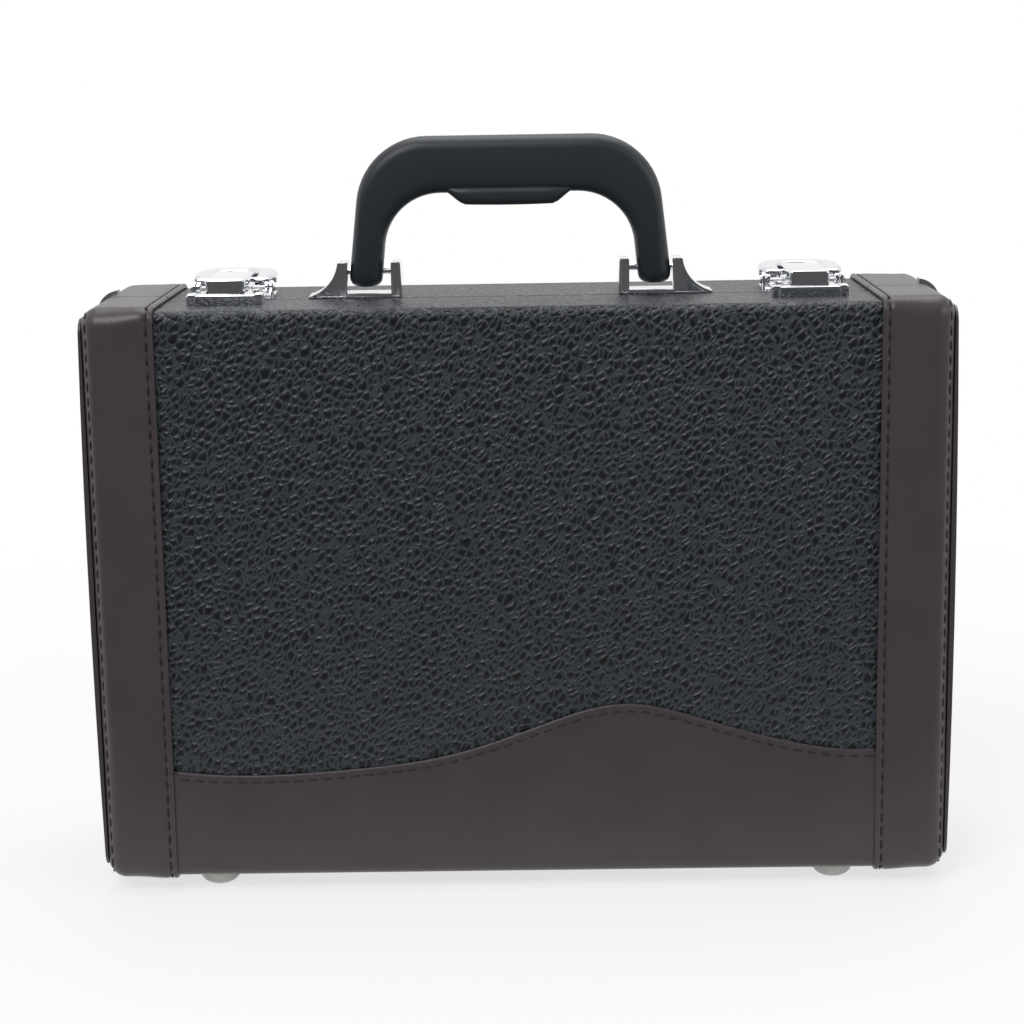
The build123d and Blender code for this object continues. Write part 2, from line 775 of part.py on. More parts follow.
# Latches: each a strike on the front half, and a base with lever and hook on the back half
strike_rear = seam_y - strike_seam_gap
strike_face = seam_y - strike_front
base_front = seam_y + strike_seam_gap
lever_pin_y = seam_y + lever_pin_back
lever_pin_z = top_z + lever_pin_height
hook_pin_y = lever_pin_y + hook_pin_back
hook_pin_z = lever_pin_z + hook_pin_rise
cheek_near = lever_half_front + cheek_gap
cheek_far = cheek_near + cheek_thickness
tilt = radians(lever_tilt)
strike_rivet_spots = []
base_rivet_spots = []
for end in (-1, 1):
    latch_x = end * latch_offset
    half_strike = strike_width / 2
    bar_front = strike_face + strike_wall + strike_bar_back
    strike_rivet_y = (strike_rear + bar_front + strike_bar_depth) / 2
    strike_spots = [(latch_x + s * strike_bar_width / 4, strike_rivet_y) for s in (-1, 1)]
    strike_rivet_spots += strike_spots
    with BuildPart() as strike_ends:
        for s in (-1, 1):
            x_low, x_high = sorted((s * half_strike, s * (half_strike - strike_block)))
            block_between(
                (latch_x + x_low, strike_face - seat_gap, top_z),
                (
                    latch_x + x_high,
                    strike_face + strike_block_depth,
                    top_z + strike_block_height,
                ),
            )
        fillet(strike_ends.edges().filter_by(Axis.Z), strike_wall / 2)
        fillet(strike_ends.edges().group_by(Axis.Z)[-1], strike_wall / 3)
    with BuildPart() as strike:
        block_between(
            (latch_x - half_strike, strike_face, top_z),
            (latch_x + half_strike, strike_rear, top_z + strike_plate),
        )
        block_between(
            (latch_x - half_strike, strike_face, top_z),
            (latch_x + half_strike, strike_face + strike_wall, top_z + strike_height),
        )
        wall_edges = strike.edges().group_by(Axis.Z)[-1].filter_by(Axis.X)
        fillet(wall_edges, strike_wall / 3)
        add(strike_ends.part)
        for s in (-1, 1):
            x_low, x_high = sorted((s * half_strike, s * (half_strike - strike_rail)))
            block_between(
                (latch_x + x_low, strike_face + strike_wall, top_z),
                (latch_x + x_high, strike_rear, top_z + strike_rail_height),
            )
        block_between(
            (latch_x - strike_bar_width / 2, bar_front, top_z),
            (
                latch_x + strike_bar_width / 2,
                bar_front + strike_bar_depth,
                top_z + strike_bar_height,
            ),
        )
        with Locations(*[Location((x, y, top_z)) for x, y in strike_spots]):
            Cylinder(rivet_shank + fit_gap, 4 * strike_plate, mode=Mode.SUBTRACT)
    finish(strike, f"{end_name[end]}_strike")

    base_spots = [
        (latch_x + s * latch_plate_flare / 2, base_front + latch_plate_length - latch_tail_chamfer)
        for s in (-1, 1)
    ]
    base_rivet_spots += base_spots
    with BuildPart() as latch_base:
        with BuildSketch(Plane.XY.offset(top_z)):
            with BuildLine():
                tail_y = base_front + latch_plate_length
                side_points = [
                    (latch_plate_half, base_front),
                    (latch_plate_flare, base_front + latch_flare_start),
                    (latch_plate_flare, tail_y - latch_tail_chamfer),
                    (latch_plate_flare - latch_tail_chamfer, tail_y),
                ]
                right = [(latch_x + x, y) for x, y in side_points]
                left = [(latch_x - x, y) for x, y in reversed(side_points)]
                Polyline(*right, *left, close=True)
            make_face()
        extrude(amount=latch_plate)
        for s in (-1, 1):
            cheek_x = min(s * cheek_near, s * cheek_far)
            with BuildSketch(Plane.YZ.offset(latch_x + cheek_x)):
                with BuildLine():
                    Polyline(
                        (lever_pin_y - cheek_foot_front, top_z),
                        (lever_pin_y + cheek_foot_back, top_z),
                        (lever_pin_y + cheek_round, lever_pin_z),
                        (lever_pin_y - cheek_round, lever_pin_z),
                        close=True,
                    )
                make_face()
                with Locations((lever_pin_y, lever_pin_z)):
                    Circle(cheek_round)
            extrude(amount=cheek_thickness)
        with BuildSketch(Plane.YZ.offset(latch_x - cheek_far)):
            with Locations((lever_pin_y, lever_pin_z)):
                Circle(lever_pin + fit_gap)
        extrude(amount=2 * cheek_far, mode=Mode.SUBTRACT)
        with Locations(*[Location((x, y, top_z)) for x, y in base_spots]):
            Cylinder(rivet_shank + fit_gap, 4 * latch_plate, mode=Mode.SUBTRACT)
    finish(latch_base, f"{end_name[end]}_latch_base")

    with BuildPart() as lever_pins:
        for s in (-1, 1):
            tab_inner = s * (lever_half_front - lever_tab)
            shank_x = min(tab_inner, s * cheek_far)
            head_x = min(s * cheek_far, s * (cheek_far + lever_pin_head_height))
            with BuildSketch(Plane.YZ.offset(latch_x + shank_x)):
                with Locations((lever_pin_y, lever_pin_z)):
                    Circle(lever_pin)
            extrude(amount=cheek_far - lever_half_front + lever_tab)
            with BuildSketch(Plane.YZ.offset(latch_x + head_x)):
                with Locations((lever_pin_y, lever_pin_z)):
                    Circle(lever_pin_head)
            extrude(amount=lever_pin_head_height)
        outer_faces = lever_pins.faces().group_by(Axis.X)
        fillet(outer_faces[0].edges(), lever_pin_head_height / 2)
        fillet(lever_pins.faces().group_by(Axis.X)[-1].edges(), lever_pin_head_height / 2)
    finish(lever_pins, f"{end_name[end]}_lever_pins")

    lever_plane = Plane(
        origin=(latch_x, lever_pin_y - lever_front, lever_pin_z + lever_under),
        x_dir=(1, 0, 0),
        z_dir=(0, -sin(tilt), cos(tilt)),
    )
    with BuildPart() as lever:
        with BuildSketch(lever_plane) as loop:
            with BuildLine():
                side_points = [
                    (lever_half_front, 0),
                    (lever_half_front, lever_shoulder),
                    (lever_half_back, lever_shoulder + lever_shoulder_run),
                    (lever_half_back, lever_length),
                ]
                left = [(-x, y) for x, y in reversed(side_points)]
                Polyline(*side_points, *left, close=True)
            make_face()
            fillet(loop.vertices().group_by(Axis.Y)[-1], lever_corner)
            slot_length = lever_length - lever_bar + lever_slot_corner
            with Locations((0, lever_length - lever_bar - slot_length / 2)):
                RectangleRounded(
                    2 * lever_slot, slot_length, lever_slot_corner, mode=Mode.SUBTRACT
                )
            with Locations((0, lever_slot_corner / 2)):
                Rectangle(2 * lever_slot, lever_slot_corner, mode=Mode.SUBTRACT)
        extrude(amount=lever_thickness)
        fillet(lever.faces().sort_by(Axis.Z)[-1].edges(), lever_round)
        for s in (-1, 1):
            tab_x = min(s * lever_half_front, s * (lever_half_front - lever_tab))
            with BuildSketch(Plane.YZ.offset(latch_x + tab_x)):
                with Locations((lever_pin_y, lever_pin_z)):
                    Circle(lever_tab_round)
                with BuildLine():
                    Polyline(
                        (lever_pin_y - lever_front, lever_pin_z),
                        (lever_pin_y + lever_tab_round, lever_pin_z),
                        (lever_pin_y + lever_shoulder, lever_pin_z + lever_thickness / 2),
                        (lever_pin_y - lever_front, lever_pin_z + lever_thickness / 2),
                        close=True,
                    )
                make_face()
            extrude(amount=lever_tab)
        with BuildSketch(Plane.YZ.offset(latch_x - lever_half_front)):
            with Locations((lever_pin_y, lever_pin_z)):
                Circle(lever_pin + fit_gap)
        extrude(amount=2 * lever_half_front, mode=Mode.SUBTRACT)
        with BuildSketch(Plane.YZ.offset(latch_x - lever_slot - hook_pin_grip)):
            with Locations((hook_pin_y, hook_pin_z)):
                Circle(hook_pin + fit_gap)
        extrude(amount=2 * (lever_slot + hook_pin_grip), mode=Mode.SUBTRACT)
    finish(lever, f"{end_name[end]}_lever")

    with BuildPart() as hook_pin_piece:
        with BuildSketch(Plane.YZ.offset(latch_x - lever_slot - hook_pin_grip)):
            with Locations((hook_pin_y, hook_pin_z)):
                Circle(hook_pin)
        extrude(amount=2 * (lever_slot + hook_pin_grip))
    finish(hook_pin_piece, f"{end_name[end]}_hook_pin")

    nose_y = strike_face + strike_wall + hook_nose_gap
    with BuildPart() as hook:
        block_between(
            (latch_x - hook_half, nose_y, top_z + hook_under),
            (latch_x + hook_half, hook_pin_y + hook_tail, top_z + hook_top),
        )
        fillet(hook.edges().filter_by(Axis.Z), hook_round)
        fillet(hook.faces().sort_by(Axis.Z)[-1].edges(), hook_round * 0.9)
        block_between(
            (latch_x - hook_half + hook_wall, nose_y + hook_nose, top_z + hook_under),
            (
                latch_x + hook_half - hook_wall,
                hook_pin_y + hook_tail - hook_wall,
                top_z + hook_top - hook_wall,
            ),
            mode=Mode.SUBTRACT,
        )
        block_between(
            (
                latch_x - strike_bar_width / 2 + hook_round,
                nose_y,
                top_z + strike_bar_height + hook_lip_clear,
            ),
            (
                latch_x + strike_bar_width / 2 - hook_round,
                nose_y + hook_nose,
                top_z + hook_under + hook_round,
            ),
        )
        with BuildSketch(Plane.YZ.offset(latch_x - hook_half)):
            with Locations((hook_pin_y, hook_pin_z)):
                Circle(hook_pin + fit_gap)
        extrude(amount=2 * hook_half, mode=Mode.SUBTRACT)
    finish(hook, f"{end_name[end]}_hook")

for spots, plate, name in (
    (strike_rivet_spots, strike_plate, "strike_rivets"),
    (base_rivet_spots, latch_plate, "latch_base_rivets"),
):
    with BuildPart() as rivets:
        for x, y in spots:
            with Locations((x, y, top_z + plate + rivet_head_height / 2)):
                Cylinder(rivet_head, rivet_head_height)
        fillet(rivets.edges().group_by(Axis.Z)[-1], rivet_head_height * 0.8)
        for x, y in spots:
            with Locations((x, y, top_z + plate / 2)):
                Cylinder(rivet_shank, plate)
    finish(rivets, name)

# Strap rings: a plate riveted to each end of the back half, and a ring that swings from it
strap_y = seam_y + strap_back
strap_high = base_z + case_height - strap_top
strap_low = strap_high - strap_height
panel_x = case_width / 2
plate_x = panel_x + strap_plate
ring_z = strap_high - knuckle_down
ring_x = plate_x + knuckle_radius
ring_bar = ring_width / 2 - ring_wire
strap_rivets_at = [
    (strap_y + s * strap_rivet_spread, strap_low + strap_rivet_spread) for s in (-1, 1)
]
strap_lugs = {}
for end in (-1, 1):
    with BuildPart() as strap_lug:
        add(half_block(1, -lug_thickness))
        add(outer_block[1], mode=Mode.SUBTRACT)
        x_low, x_high = sorted((end * (band_half_width - lug_reach), end * case_width))
        block_between(
            (x_low, strap_y - lug_width / 2, strap_high - strap_corner),
            (x_high, strap_y + lug_width / 2, 2 * strap_high),
            mode=Mode.INTERSECT,
        )
    strap_lugs[end] = strap_lug.part
    with BuildPart() as strap_piece:
        with BuildSketch(Plane.YZ.offset(end * band_half_width)):
            with Locations((strap_y, (strap_low + strap_high) / 2)):
                RectangleRounded(strap_width, strap_height, strap_corner)
        extrude(amount=end * (plate_x - band_half_width))
        add(strap_lugs[end])
        add(end_panels[(1, end)], mode=Mode.SUBTRACT)
        with BuildSketch(Plane.XZ.offset(-(strap_y - knuckle_width / 2))):
            with Locations((end * ring_x, ring_z)):
                Circle(knuckle_radius)
            with Locations((end * (plate_x + knuckle_radius / 2), ring_z)):
                Rectangle(knuckle_radius, 2 * knuckle_radius)
        extrude(amount=-knuckle_width)
        with BuildSketch(Plane.XZ.offset(-(strap_y - knuckle_width / 2))):
            with Locations((end * ring_x, ring_z)):
                Circle(ring_wire + fit_gap)
        extrude(amount=-knuckle_width, mode=Mode.SUBTRACT)
        with Locations(
            *[Location((end * plate_x, y, z), (0, 90, 0)) for y, z in strap_rivets_at]
        ):
            Cylinder(rivet_shank + fit_gap, 4 * (plate_x - band_half_width), mode=Mode.SUBTRACT)
    finish(strap_piece, f"{end_name[end]}_strap_plate")

    with BuildPart() as ring:
        with BuildLine() as ring_path:
            FilletPolyline(
                (end * ring_x, strap_y, ring_z),
                (end * ring_x, strap_y + ring_bar, ring_z),
                (end * ring_x, strap_y + ring_bar, ring_z - ring_drop),
                (end * ring_x, strap_y - ring_bar, ring_z - ring_drop),
                (end * ring_x, strap_y - ring_bar, ring_z),
                (end * ring_x, strap_y, ring_z),
                radius=[0, ring_shoulder, ring_bend, ring_bend, ring_shoulder],
                close=True,
            )
        with BuildSketch(Plane.XZ.offset(-strap_y)):
            with Locations((end * ring_x, ring_z)):
                Circle(ring_wire)
        sweep()
    finish(ring, f"{end_name[end]}_strap_ring")

with BuildPart() as strap_rivets:
    for end in (-1, 1):
        for y, z in strap_rivets_at:
            with BuildSketch(Plane.YZ.offset(end * plate_x)):
                with Locations((y, z)):
                    Circle(rivet_head)
            extrude(amount=end * rivet_head_height)
            with BuildSketch(Plane.YZ.offset(end * panel_x)):
                with Locations((y, z)):
                    Circle(rivet_shank)
            extrude(amount=end * strap_plate)
    for group in (0, -1):
        fillet(strap_rivets.faces().group_by(Axis.X)[group].edges(), rivet_head_height * 0.8)
finish(strap_rivets, "strap_rivets")
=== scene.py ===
from math import cos, pi, radians, sin, sqrt

import bmesh
import bpy
from mathutils import Matrix, Vector, noise


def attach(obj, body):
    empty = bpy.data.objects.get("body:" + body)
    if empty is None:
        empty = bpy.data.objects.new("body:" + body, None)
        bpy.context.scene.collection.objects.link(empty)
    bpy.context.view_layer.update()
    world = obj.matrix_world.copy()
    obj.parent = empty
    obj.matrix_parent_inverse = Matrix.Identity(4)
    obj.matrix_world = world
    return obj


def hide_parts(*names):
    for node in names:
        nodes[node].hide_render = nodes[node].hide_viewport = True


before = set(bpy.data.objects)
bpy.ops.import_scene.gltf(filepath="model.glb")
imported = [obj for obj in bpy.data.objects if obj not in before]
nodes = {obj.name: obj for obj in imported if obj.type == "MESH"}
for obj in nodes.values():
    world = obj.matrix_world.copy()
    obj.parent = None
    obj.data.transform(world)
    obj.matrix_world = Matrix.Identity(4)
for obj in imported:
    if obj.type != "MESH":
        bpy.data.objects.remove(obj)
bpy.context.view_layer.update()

# Plywood shells: two open boxes of thin birch ply, one for each half, which carry everything
# else. The ply is left raw and shows only as a pale edge round the mouth of an open case.
# Lengths in this file are in millimetres until they reach a mesh, which is in metres.
MM = 0.001


def linear(code):
    """Linear colour of an sRGB hex code."""
    levels = [int(code[i:i + 2], 16) / 255 for i in (1, 3, 5)]
    return tuple(c / 12.92 if c <= 0.04045 else ((c + 0.055) / 1.055) ** 2.4 for c in levels) + (1,)


def add_node(material, kind, sockets=None, **settings):
    """A node of this kind with its settings, and each socket given a value or a link."""
    made = material.node_tree.nodes.new(kind)
    for name, value in settings.items():
        setattr(made, name, value)
    for name, value in (sockets or {}).items():
        if isinstance(value, bpy.types.NodeSocket):
            material.node_tree.links.new(value, made.inputs[name])
        else:
            made.inputs[name].default_value = value
    return made


def new_material(name, sockets):
    """A material with one surface shader, whose sockets are set here; returns both."""
    material = bpy.data.materials.new(name)
    material.use_nodes = True
    material.node_tree.nodes.clear()
    shader = add_node(material, "ShaderNodeBsdfPrincipled", sockets)
    add_node(material, "ShaderNodeOutputMaterial", {"Surface": shader.outputs[0]})
    return material, shader


def mm_place(material, scale=(1, 1, 1)):
    """Place on the piece in millimetres, stretched by a scale."""
    place = add_node(material, "ShaderNodeTexCoord")
    factors = tuple(s / MM for s in scale)
    mapped = add_node(
        material, "ShaderNodeMapping", {"Vector": place.outputs["Object"], "Scale": factors}
    )
    return mapped.outputs[0]


def set_bump(material, shader, height, depth):
    """Relief of a depth in millimetres, from a height between 0 and 1."""
    bump = add_node(
        material, "ShaderNodeBump", {"Strength": 1.0, "Distance": depth * MM, "Height": height}
    )
    material.node_tree.links.new(bump.outputs[0], shader.inputs["Normal"])


def blend_colours(material, factor, dark, light):
    """Colour between two hex codes."""
    ramp = add_node(material, "ShaderNodeValToRGB", {0: factor})
    ramp.color_ramp.elements[0].color = linear(dark)
    ramp.color_ramp.elements[1].color = linear(light)
    return ramp.outputs[0]


def finish_nodes(material, slot, *names):
    """CAD nodes that show as they are, in this material."""
    for name in names:
        nodes[name].data.materials.clear()
        nodes[name].data.materials.append(material)


# Raw birch plywood: dull, with a fine straight grain along the case.
plywood, plywood_shader = new_material("birch plywood, sanded", {"Roughness": 0.65})
ply_grain = add_node(
    plywood,
    "ShaderNodeTexNoise",
    {"Vector": mm_place(plywood, (1 / 40, 1 / 1.2, 1 / 1.2)), "Scale": 1.0, "Detail": 4.0},
)
plywood.node_tree.links.new(
    blend_colours(plywood, ply_grain.outputs[0], "#a9875a", "#d6b98a"),
    plywood_shader.inputs["Base Color"],
)
finish_nodes(plywood, "plywood", "front_shell", "back_shell")

# Black covers: pebble-grained leather, embossed by a roller and glued round the middle of each
# shell. Pebbles a few millimetres long lie aslant between fine creases. The creases' edges are
# coloured a little lighter, a painted highlight where the pebbles' rims would catch the light.
PEBBLE = 3.2
PEBBLE_SLANT = -32
PEBBLE_DEPTH = 0.50
WARP = 3.4
WARP_SPAN = 5.5
CREASE_WALL = 0.30
CREASE_HIGHLIGHT_WIDTH = 0.16
pebbled, pebbled_shader = new_material(
    "cowhide, pebble embossed and dyed black",
    {"Roughness": 0.40, "Specular IOR Level": 0.5, "IOR": 1.5},
)
slanted = add_node(
    pebbled,
    "ShaderNodeMapping",
    {"Vector": mm_place(pebbled), "Rotation": (0, radians(PEBBLE_SLANT), 0)},
)
stretched = add_node(
    pebbled, "ShaderNodeMapping", {"Vector": slanted.outputs[0], "Scale": (1.2, 1.2, 0.8)}
)
pebble_place = stretched.outputs[0]
warp = add_node(
    pebbled, "ShaderNodeTexNoise", {"Vector": pebble_place, "Scale": 1 / WARP_SPAN, "Detail": 2.0}
)
warped = add_node(
    pebbled,
    "ShaderNodeVectorMath",
    {0: warp.outputs[1], 1: (WARP, WARP, WARP), 2: pebble_place},
    operation="MULTIPLY_ADD",
)
crease = add_node(
    pebbled,
    "ShaderNodeTexVoronoi",
    {"Vector": warped.outputs[0], "Scale": 1 / PEBBLE, "Randomness": 0.9},
    feature="DISTANCE_TO_EDGE",
)
dome = add_node(
    pebbled,
    "ShaderNodeTexVoronoi",
    {"Vector": warped.outputs[0], "Scale": 1 / PEBBLE, "Randomness": 0.9},
    feature="F1",
)
crease_wall = add_node(
    pebbled,
    "ShaderNodeMapRange",
    {0: crease.outputs[0], 1: 0.0, 2: CREASE_WALL, 3: 0.0, 4: 1.0},
    interpolation_type="SMOOTHSTEP",
)
dome_top = add_node(
    pebbled, "ShaderNodeMapRange", {0: dome.outputs[0], 1: 0.0, 2: 0.75, 3: 1.0, 4: 0.0}
)
pebble_height = add_node(
    pebbled,
    "ShaderNodeMath",
    {0: crease_wall.outputs[0], 1: 0.55, 2: dome_top.outputs[0]},
    operation="MULTIPLY_ADD",
)
pores = add_node(
    pebbled, "ShaderNodeTexNoise", {"Vector": pebble_place, "Scale": 1 / 0.5, "Detail": 2.0}
)
pored_height = add_node(
    pebbled,
    "ShaderNodeMath",
    {0: pores.outputs[0], 1: 0.10, 2: pebble_height.outputs[0]},
    operation="MULTIPLY_ADD",
)
# Painted highlight: a thin band along each crease's edge takes the lighter colour, in place of light
# caught by the pebble rims.
crease_edge_highlight = add_node(
    pebbled,
    "ShaderNodeMapRange",
    {0: crease.outputs[0], 1: 0.0, 2: CREASE_HIGHLIGHT_WIDTH, 3: 1.0, 4: 0.0},
    interpolation_type="SMOOTHSTEP",
)
set_bump(pebbled, pebbled_shader, pored_height.outputs[0], PEBBLE_DEPTH)
pebbled.node_tree.links.new(
    blend_colours(pebbled, crease_edge_highlight.outputs[0], "#0d1015", "#30363e"),
    pebbled_shader.inputs["Base Color"],
)
finish_nodes(pebbled, "pebbled_leather", "front_cover", "back_cover")

# End bands: smooth dark brown leather over a thin pad, folded under and stitched along the
# inner edge, drawn round the end of the shell and stitched again where the end panel begins.
# The leather is a little slack and wrinkles softly towards the top.
SEAM_Y = -7.0
BAND_LOW = 6.0
BAND_HIGH = 250.2
BAND_END = 177.8
BAND_INNER = 147.8
HALF_DEPTH = {-1: 44.0, 1: 58.0}
HALF_BODY = {-1: "front_half", 1: "back_half"}
HALF_NAME = {-1: "front", 1: "back"}
END_NAME = {-1: "left", 1: "right"}
RIM_GAP = 0.3
RIM_ROLL = 0.9
LONG_EDGE = 6.0
END_CORNER = 8.0
STITCH_PITCH = 6.0
INNER_SEAM = 150.4
OUTER_SEAM = 175.6
INNER_REACH = 1.6
OUTER_REACH = 1.3
TUCK = 0.16
INNER_SUNK = 0.22
OUTER_GROOVE = 0.28
SLACK_FROM = 149.0
SLACK_OVER = 6.0
TURN_FROM = 152.0
TURN_OVER = 14.0
PLATEAU_STEPS = 7
BAND_THICK = 2.6
STEP = 1.5

smooth_leather, smooth_shader = new_material(
    "cowhide, smooth, pigmented dark brown",
    {"Roughness": 0.36, "Specular IOR Level": 0.50, "IOR": 1.5},
)
grain_place = mm_place(smooth_leather)
fine_grain = add_node(
    smooth_leather, "ShaderNodeTexNoise", {"Vector": grain_place, "Scale": 1 / 0.7, "Detail": 3.0}
)
pull_lines = add_node(
    smooth_leather,
    "ShaderNodeTexNoise",
    {"Vector": mm_place(smooth_leather, (1 / 2.6, 1 / 2.6, 1 / 14)), "Scale": 1.0, "Detail": 3.0,
     "Distortion": 0.6},
)
leather_relief = add_node(
    smooth_leather,
    "ShaderNodeMath",
    {0: fine_grain.outputs[0], 1: 0.35, 2: pull_lines.outputs[0]},
    operation="MULTIPLY_ADD",
)
set_bump(smooth_leather, smooth_shader, leather_relief.outputs[0], 0.16)
tone_patches = add_node(
    smooth_leather, "ShaderNodeTexNoise", {"Vector": grain_place, "Scale": 1 / 22, "Detail": 3.0}
)
smooth_leather.node_tree.links.new(
    blend_colours(smooth_leather, tone_patches.outputs[0], "#362f31", "#413a3c"),
    smooth_shader.inputs["Base Color"],
)


def ease(value):
    """0 below 0, 1 above 1, and smooth in between."""
    value = min(max(value, 0.0), 1.0)
    return value * value * (3 - 2 * value)


def band_stations(side, pitch):
    """Steps round one half, from the seam on top over the face to the seam underneath."""
    flat = HALF_DEPTH[side] - RIM_GAP - LONG_EDGE
    count = round(flat / pitch)
    edge = [0.0, 0.12, 0.42, RIM_ROLL]
    flats = edge + [RIM_ROLL + (flat - RIM_ROLL) * i / count for i in range(1, count)]
    top = [("top", d / flat) for d in flats]
    turn = [("top turn", a) for a in range(90, 0, -10)]
    face_count = round((BAND_HIGH - BAND_LOW) / pitch)
    face = [("face", i / face_count) for i in range(face_count + 1)]
    lower_turn = [("low turn", a) for a in range(-10, -91, -10)]
    low = [("low", t) for _, t in reversed(top)]
    return top + turn + face + lower_turn + low


def band_point(side, station, out, inset):
    """Place on or under a half's surface, at a distance out from the middle of the case."""
    kind, share = station
    turn = LONG_EDGE + (END_CORNER - LONG_EDGE) * ease((out - TURN_FROM) / TURN_OVER)
    rim = SEAM_Y + side * RIM_GAP
    far = SEAM_Y + side * HALF_DEPTH[side]
    turn_y = far - side * turn
    if kind in ("top", "low"):
        y = rim + (turn_y - rim) * share
        short = max(RIM_ROLL - abs(y - rim), 0)
        inset = inset + RIM_ROLL - sqrt(RIM_ROLL ** 2 - short ** 2)
        z = BAND_HIGH - inset if kind == "top" else BAND_LOW + inset
    elif kind == "face":
        y = far - side * inset
        z = BAND_HIGH - turn + (BAND_LOW - BAND_HIGH + 2 * turn) * share
    else:
        y = turn_y + side * (turn - inset) * cos(radians(share))
        centre = BAND_HIGH - turn if share > 0 else BAND_LOW + turn
        z = centre + (turn - inset) * sin(radians(share))
    return Vector((out, y, z))


def sweep(bm, rings, closed):
    """Skin through rings of points, drawn by extruding the first ring from place to place."""
    points = [bm.verts.new(p) for p in rings[0]]
    pairs = zip(points, points[1:] + points[:1]) if closed else zip(points, points[1:])
    edges = [bm.edges.new(pair) for pair in pairs]
    first = points
    for ring in rings[1:]:
        drawn = bmesh.ops.extrude_edge_only(bm, edges=edges)["geom"]
        fresh = {g for g in drawn if isinstance(g, bmesh.types.BMVert)}
        points = [
            next(e.other_vert(v) for e in v.link_edges if e.other_vert(v) in fresh)
            for v in points
        ]
        edges = [bm.edges.get(pair) for pair in zip(points, points[1:])]
        if closed:
            edges.append(bm.edges.get((points[-1], points[0])))
        for vert, place in zip(points, ring):
            vert.co = place
    return first, points


def show(bm, name, material, slot, body, *replaced):
    """The finished piece, made of a mesh in millimetres, riding on a body."""
    bmesh.ops.scale(bm, vec=(MM, MM, MM), verts=bm.verts)
    mesh = bpy.data.meshes.new(name)
    bm.to_mesh(mesh)
    bm.free()
    mesh.shade_smooth()
    mesh.materials.append(material)
    piece = bpy.data.objects.new(name, mesh)
    bpy.context.scene.collection.objects.link(piece)
    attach(piece, body)
    if replaced:
        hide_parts(*replaced)
    return piece


def slack(out, place, end):
    """How far the leather swells or sinks here, as it lies over its pad."""
    broad = noise.noise(Vector((end * out / 16, place.y / 16, place.z / 34)))
    high = ease((place.z - 120) / 110)
    fold = noise.noise(Vector((end * out / 4 + place.z / 30, place.y / 7, place.z / 13)))
    return 0.22 * broad + 0.13 * high * fold


edge_profile = [(147.8, 1.9), (147.5, 1.3), (147.6, 0.5), (148.1, 0.0), (148.8, -0.2), (149.5, -0.1),
                (150.0, 0.25), (INNER_SEAM, 0.42), (150.8, 0.25), (151.5, 0.0), (153.0, -0.12)]
plateau_from, plateau_inset = edge_profile[-1]
plateau_step = (BAND_END - END_CORNER - plateau_from) / PLATEAU_STEPS
plateau = [
    (plateau_from + plateau_step * i, plateau_inset * (1 - i / PLATEAU_STEPS))
    for i in range(1, PLATEAU_STEPS + 1)
]
corner_angles = [8 * i for i in range(1, 12)] + [90]
corner_profile = [
    (BAND_END - END_CORNER + END_CORNER * sin(radians(a)), END_CORNER * (1 - cos(radians(a))))
    for a in corner_angles
]
band_profile = edge_profile + plateau + corner_profile
for side in (-1, 1):
    stations = band_stations(side, STEP)
    for end in (-1, 1):
        rings = []
        walked = 0.0
        before = None
        for station in stations:
            here = band_point(side, station, BAND_INNER, 0)
            walked += (here - before).length if before else 0
            before = here
            tuck = 0.5 + 0.5 * cos(2 * pi * walked / STITCH_PITCH)
            ring = []
            for out, inset in band_profile:
                place = band_point(side, station, out, inset)
                by_inner = max(1 - abs(out - INNER_SEAM) / INNER_REACH, 0)
                by_outer = max(1 - abs(out - OUTER_SEAM) / OUTER_REACH, 0)
                inset = inset + max(by_inner, by_outer) * TUCK * tuck + OUTER_GROOVE * by_outer
                if out < BAND_END:
                    inset -= slack(out, place, end) * ease((out - SLACK_FROM) / SLACK_OVER)
                place = band_point(side, station, out, inset)
                place.x *= end
                ring.append(place)
            rings.append(ring)
        bm = bmesh.new()
        sweep(bm, rings, False)
        end_face = [v for v in bm.verts if abs(abs(v.co.x) - BAND_END) < 0.001]
        bmesh.ops.remove_doubles(bm, verts=end_face, dist=0.01)
        end_edges = [
            e for e in bm.edges if e.is_boundary
            and all(abs(abs(v.co.x) - BAND_END) < 0.001 for v in e.verts)
        ]
        corners = [v for v in {v for e in end_edges for v in e.verts}
                   if sum(e in end_edges for e in v.link_edges) == 1]
        closing = bm.edges.new(corners)
        cap = bmesh.ops.contextual_create(bm, geom=end_edges + [closing])["faces"][0]
        bmesh.ops.recalc_face_normals(bm, faces=bm.faces)
        if cap.normal.x * end < 0:
            bmesh.ops.reverse_faces(bm, faces=bm.faces)
        name = f"{HALF_NAME[side]}_{END_NAME[end]}_band"
        band = show(bm, f"{name}_leather", smooth_leather, "smooth_leather", HALF_BODY[side], name)
        wall = band.modifiers.new("leather and pad", "SOLIDIFY")
        wall.thickness = BAND_THICK * MM
        wall.offset = -1
        wall.use_rim = True

# Thread: waxed polyester, nearly black, laid down by machine in stitches 4.6 mm long with a
# gap between them. Each stitch lies half sunk in the groove that it has pulled.
THREAD = 0.42
STITCH_HALF = 2.3
thread, _ = new_material(
    "polyester thread, waxed black", {"Base Color": linear("#15110f"), "Roughness": 0.55}
)


def stitches_along(bm, places, pitch=STITCH_PITCH):
    """Stitches laid end to end along a line of points."""
    walked = 0.0
    due = pitch / 2
    for a, b in zip(places, places[1:]):
        length = (b - a).length
        while length and walked + length >= due:
            spot = a.lerp(b, (due - walked) / length)
            turned = (b - a).to_track_quat("X", "Z").to_matrix().to_4x4()
            shape = Matrix.Diagonal((STITCH_HALF, THREAD, THREAD, 1))
            bmesh.ops.create_uvsphere(
                bm, u_segments=6, v_segments=6, radius=1,
                matrix=Matrix.Translation(spot) @ turned @ shape,
            )
            due += pitch
        walked += length


